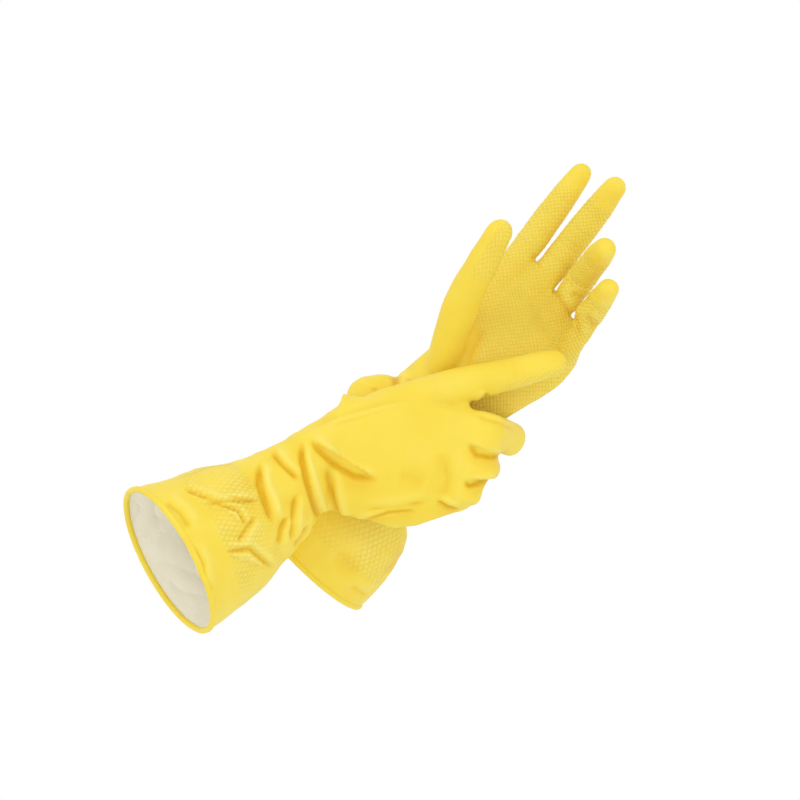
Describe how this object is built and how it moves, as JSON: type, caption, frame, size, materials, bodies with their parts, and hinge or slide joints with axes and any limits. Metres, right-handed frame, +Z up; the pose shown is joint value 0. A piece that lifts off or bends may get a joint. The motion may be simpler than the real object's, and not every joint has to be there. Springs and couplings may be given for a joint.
{
  "type": "rubber gloves",
  "caption": "Pair of long flock-lined latex household gloves with beaded gauntlet cuffs, the right one gripping the wrist of the left one.",
  "frame": {"origin": "middle of the left glove's cuff opening, inside its rolled bead", "axes": "+Z up, -Y to the front, +X to the right as the front is seen: the left glove's palm faces -Y and its fingers point up and to the right"},
  "size_m": [0.314, 0.2242, 0.2943],
  "materials": {
    "yellow_latex": "satin moulded latex with a diamond grip on the palm side",
    "flock_lining": "matt cotton flock"
  },
  "bodies": {
    "left_glove": {"left_sleeve": "yellow_latex", "left_sleeve_lining": "flock_lining", "left_cuff_bead": "yellow_latex", "left_hand": "yellow_latex", "left_webbing": "yellow_latex", "left_thumb_root_crease": "yellow_latex"},
    "left_index_base": {"left_index_base": "yellow_latex", "left_index_base_crease": "yellow_latex"},
    "left_index_mid": {"left_index_mid": "yellow_latex", "left_index_tip_crease": "yellow_latex"},
    "left_index_tip": {"left_index_tip": "yellow_latex"},
    "left_middle_base": {"left_middle_base": "yellow_latex", "left_middle_base_crease": "yellow_latex"},
    "left_middle_mid": {"left_middle_mid": "yellow_latex", "left_middle_tip_crease": "yellow_latex"},
    "left_middle_tip": {"left_middle_tip": "yellow_latex"},
    "left_ring_base": {"left_ring_base": "yellow_latex", "left_ring_base_crease": "yellow_latex"},
    "left_ring_mid": {"left_ring_mid": "yellow_latex", "left_ring_tip_crease": "yellow_latex"},
    "left_ring_tip": {"left_ring_tip": "yellow_latex"},
    "left_little_base": {"left_little_base": "yellow_latex", "left_little_base_crease": "yellow_latex"},
    "left_little_mid": {"left_little_mid": "yellow_latex", "left_little_tip_crease": "yellow_latex"},
    "left_little_tip": {"left_little_tip": "yellow_latex"},
    "left_thumb_base": {"left_thumb_base": "yellow_latex", "left_thumb_tip_crease": "yellow_latex"},
    "left_thumb_tip": {"left_thumb_tip": "yellow_latex"},
    "right_hand": {"right_hand": "yellow_latex", "right_webbing": "yellow_latex", "right_thumb_root_crease": "yellow_latex", "right_wrist_crease": "yellow_latex"},
    "right_sleeve": {"right_sleeve": "yellow_latex", "right_sleeve_lining": "flock_lining", "right_cuff_bead": "yellow_latex"},
    "right_index_base": {"right_index_base": "yellow_latex", "right_index_base_crease": "yellow_latex"},
    "right_index_mid": {"right_index_mid": "yellow_latex", "right_index_tip_crease": "yellow_latex"},
    "right_index_tip": {"right_index_tip": "yellow_latex"},
    "right_middle_base": {"right_middle_base": "yellow_latex", "right_middle_base_crease": "yellow_latex"},
    "right_middle_mid": {"right_middle_mid": "yellow_latex", "right_middle_tip_crease": "yellow_latex"},
    "right_middle_tip": {"right_middle_tip": "yellow_latex"},
    "right_ring_base": {"right_ring_base": "yellow_latex", "right_ring_base_crease": "yellow_latex"},
    "right_ring_mid": {"right_ring_mid": "yellow_latex", "right_ring_tip_crease": "yellow_latex"},
    "right_ring_tip": {"right_ring_tip": "yellow_latex"},
    "right_little_base": {"right_little_base": "yellow_latex", "right_little_base_crease": "yellow_latex"},
    "right_little_mid": {"right_little_mid": "yellow_latex", "right_little_tip_crease": "yellow_latex"},
    "right_little_tip": {"right_little_tip": "yellow_latex"},
    "right_thumb_base": {"right_thumb_base": "yellow_latex", "right_thumb_tip_crease": "yellow_latex"},
    "right_thumb_tip": {"right_thumb_tip": "yellow_latex"}
  },
  "joints": [
    {"name": "left_index_knuckle", "type": "hinge", "parent": "left_glove", "child": "left_index_base", "pos_m": [0.12596, -0.0365, 0.17852], "axis": [0.8059, 0, -0.592], "range_deg": [-5, 35], "stiffness_Nm_per_rad": 0.03, "deforming": ["left_webbing"]},
    {"name": "left_index_middle_joint", "type": "hinge", "parent": "left_index_base", "child": "left_index_mid", "pos_m": [0.15191, -0.04034, 0.21384], "axis": [0.8059, 0, -0.592], "range_deg": [-4, 41], "stiffness_Nm_per_rad": 0.03, "deforming": ["left_index_base_crease"]},
    {"name": "left_index_end_joint", "type": "hinge", "parent": "left_index_mid", "child": "left_index_tip", "pos_m": [0.16711, -0.0444, 0.23454], "axis": [0.8059, 0, -0.592], "range_deg": [-2.4, 24.6], "deforming": ["left_index_tip_crease"]},
    {"name": "left_middle_knuckle", "type": "hinge", "parent": "left_glove", "child": "left_middle_base", "pos_m": [0.14406, -0.0345, 0.1677], "axis": [0.7955, 0, -0.606], "range_deg": [-16, 44], "stiffness_Nm_per_rad": 0.03},
    {"name": "left_middle_middle_joint", "type": "hinge", "parent": "left_middle_base", "child": "left_middle_mid", "pos_m": [0.17203, -0.04773, 0.2044], "axis": [0.7955, 0, -0.606], "range_deg": [-14, 56], "stiffness_Nm_per_rad": 0.03, "deforming": ["left_middle_base_crease"]},
    {"name": "left_middle_end_joint", "type": "hinge", "parent": "left_middle_mid", "child": "left_middle_tip", "pos_m": [0.18777, -0.06273, 0.22507], "axis": [0.7955, 0, -0.606], "range_deg": [-8.4, 33.6], "deforming": ["left_middle_tip_crease"]},
    {"name": "left_ring_knuckle", "type": "hinge", "parent": "left_glove", "child": "left_ring_base", "pos_m": [0.15704, -0.0355, 0.15072], "axis": [0.8059, 0, -0.592], "range_deg": [-30, 30], "stiffness_Nm_per_rad": 0.03},
    {"name": "left_ring_middle_joint", "type": "hinge", "parent": "left_ring_base", "child": "left_ring_mid", "pos_m": [0.17959, -0.0575, 0.18143], "axis": [0.8059, 0, -0.592], "range_deg": [-30, 40], "stiffness_Nm_per_rad": 0.03, "deforming": ["left_ring_base_crease"]},
    {"name": "left_ring_end_joint", "type": "hinge", "parent": "left_ring_mid", "child": "left_ring_tip", "pos_m": [0.18788, -0.08175, 0.19272], "axis": [0.8059, 0, -0.592], "range_deg": [-18, 24], "deforming": ["left_ring_tip_crease"]},
    {"name": "left_little_knuckle", "type": "hinge", "parent": "left_glove", "child": "left_little_base", "pos_m": [0.16702, -0.0395, 0.13222], "axis": [0.8161, 0, -0.5779], "range_deg": [-36, 24], "stiffness_Nm_per_rad": 0.03},
    {"name": "left_little_middle_joint", "type": "hinge", "parent": "left_little_base", "child": "left_little_mid", "pos_m": [0.18338, -0.06007, 0.15533], "axis": [0.8161, 0, -0.5779], "range_deg": [-21, 49], "stiffness_Nm_per_rad": 0.03, "deforming": ["left_little_base_crease"]},
    {"name": "left_little_end_joint", "type": "hinge", "parent": "left_little_mid", "child": "left_little_tip", "pos_m": [0.18999, -0.07769, 0.16467], "axis": [0.8161, 0, -0.5779], "range_deg": [-12.6, 29.4], "deforming": ["left_little_tip_crease"]},
    {"name": "left_thumb_knuckle", "type": "hinge", "parent": "left_glove", "child": "left_thumb_base", "pos_m": [0.0985, -0.06855, 0.16331], "axis": [0.5979, 0.7457, 0.294], "range_deg": [-10, 15], "stiffness_Nm_per_rad": 0.03, "deforming": ["left_thumb_root_crease"]},
    {"name": "left_thumb_end_joint", "type": "hinge", "parent": "left_thumb_base", "child": "left_thumb_tip", "pos_m": [0.11051, -0.08849, 0.18944], "axis": [0.5979, 0.7457, 0.294], "range_deg": [-2, 30], "stiffness_Nm_per_rad": 0.03, "deforming": ["left_thumb_tip_crease"]},
    {"name": "right_glove_release", "type": "slide", "parent": "left_glove", "child": "right_hand", "axis": [0.8102, 0, -0.5861], "range_m": [0, 0.14]},
    {"name": "right_wrist", "type": "hinge", "parent": "right_hand", "child": "right_sleeve", "pos_m": [0.01605, -0.0767, 0.07195], "axis": [0.2588, 0, 0.9659], "range_deg": [-10, 20], "stiffness_Nm_per_rad": 0.03, "deforming": ["right_wrist_crease"]},
    {"name": "right_index_knuckle", "type": "hinge", "parent": "right_hand", "child": "right_index_base", "pos_m": [0.11791, -0.0767, 0.08503], "axis": [0.309, 0, 0.9511], "range_deg": [-67, 0], "stiffness_Nm_per_rad": 0.03, "deforming": ["right_webbing"]},
    {"name": "right_index_middle_joint", "type": "hinge", "parent": "right_index_base", "child": "right_index_mid", "pos_m": [0.13426, -0.0362, 0.07972], "axis": [0.309, 0, 0.9511], "range_deg": [-50, 0], "stiffness_Nm_per_rad": 0.03, "deforming": ["right_index_base_crease"]},
    {"name": "right_index_end_joint", "type": "hinge", "parent": "right_index_mid", "child": "right_index_tip", "pos_m": [0.12303, -0.01303, 0.08337], "axis": [0.309, 0, 0.9511], "range_deg": [-30, 0], "deforming": ["right_index_tip_crease"]},
    {"name": "right_middle_knuckle", "type": "hinge", "parent": "right_hand", "child": "right_middle_base", "pos_m": [0.1144, -0.0787, 0.06423], "axis": [0.309, 0, 0.9511], "range_deg": [-85, 0], "stiffness_Nm_per_rad": 0.03},
    {"name": "right_middle_middle_joint", "type": "hinge", "parent": "right_middle_base", "child": "right_middle_mid", "pos_m": [0.11838, -0.03088, 0.06294], "axis": [0.309, 0, 0.9511], "range_deg": [-38, 0], "stiffness_Nm_per_rad": 0.03, "deforming": ["right_middle_base_crease"]},
    {"name": "right_middle_end_joint", "type": "hinge", "parent": "right_middle_mid", "child": "right_middle_tip", "pos_m": [0.10284, -0.00572, 0.06799], "axis": [0.309, 0, 0.9511], "range_deg": [-22.8, 0], "deforming": ["right_middle_tip_crease"]},
    {"name": "right_ring_knuckle", "type": "hinge", "parent": "right_hand", "child": "right_ring_base", "pos_m": [0.1033, -0.0777, 0.04598], "axis": [0.2924, 0, 0.9563], "range_deg": [-92, 0], "stiffness_Nm_per_rad": 0.03},
    {"name": "right_ring_middle_joint", "type": "hinge", "parent": "right_ring_base", "child": "right_ring_mid", "pos_m": [0.10183, -0.03373, 0.04643], "axis": [0.2924, 0, 0.9563], "range_deg": [-28, 0], "stiffness_Nm_per_rad": 0.03, "deforming": ["right_ring_base_crease"]},
    {"name": "right_ring_end_joint", "type": "hinge", "parent": "right_ring_mid", "child": "right_ring_tip", "pos_m": [0.08844, -0.00948, 0.05052], "axis": [0.2924, 0, 0.9563], "range_deg": [-16.8, 0], "deforming": ["right_ring_tip_crease"]},
    {"name": "right_little_knuckle", "type": "hinge", "parent": "right_hand", "child": "right_little_base", "pos_m": [0.08969, -0.0737, 0.02996], "axis": [0.2924, 0, 0.9563], "range_deg": [-96, 0], "stiffness_Nm_per_rad": 0.03},
    {"name": "right_little_middle_joint", "type": "hinge", "parent": "right_little_base", "child": "right_little_mid", "pos_m": [0.08619, -0.03889, 0.03103], "axis": [0.2924, 0, 0.9563], "range_deg": [-15, 0], "stiffness_Nm_per_rad": 0.03, "deforming": ["right_little_base_crease"]},
    {"name": "right_little_end_joint", "type": "hinge", "parent": "right_little_mid", "child": "right_little_tip", "pos_m": [0.07899, -0.01929, 0.03323], "axis": [0.2924, 0, 0.9563], "range_deg": [-9, 0], "deforming": ["right_little_tip_crease"]},
    {"name": "right_thumb_knuckle", "type": "hinge", "parent": "right_hand", "child": "right_thumb_base", "pos_m": [0.09881, -0.0716, 0.11241], "axis": [-0.0478, 0.9188, 0.3917], "range_deg": [-10, 0], "stiffness_Nm_per_rad": 0.03, "deforming": ["right_thumb_root_crease"]},
    {"name": "right_thumb_end_joint", "type": "hinge", "parent": "right_thumb_base", "child": "right_thumb_tip", "pos_m": [0.13284, -0.07324, 0.1204], "axis": [-0.0478, 0.9188, 0.3917], "range_deg": [-10, 0], "stiffness_Nm_per_rad": 0.03, "deforming": ["right_thumb_tip_crease"]}
  ],
  "couplings": [
    {"joint": "left_index_end_joint", "follows": "left_index_middle_joint", "ratio": 0.6},
    {"joint": "left_middle_end_joint", "follows": "left_middle_middle_joint", "ratio": 0.6},
    {"joint": "left_ring_end_joint", "follows": "left_ring_middle_joint", "ratio": 0.6},
    {"joint": "left_little_end_joint", "follows": "left_little_middle_joint", "ratio": 0.6},
    {"joint": "right_index_end_joint", "follows": "right_index_middle_joint", "ratio": 0.6},
    {"joint": "right_middle_end_joint", "follows": "right_middle_middle_joint", "ratio": 0.6},
    {"joint": "right_ring_end_joint", "follows": "right_ring_middle_joint", "ratio": 0.6},
    {"joint": "right_little_end_joint", "follows": "right_little_middle_joint", "ratio": 0.6}
  ]
}
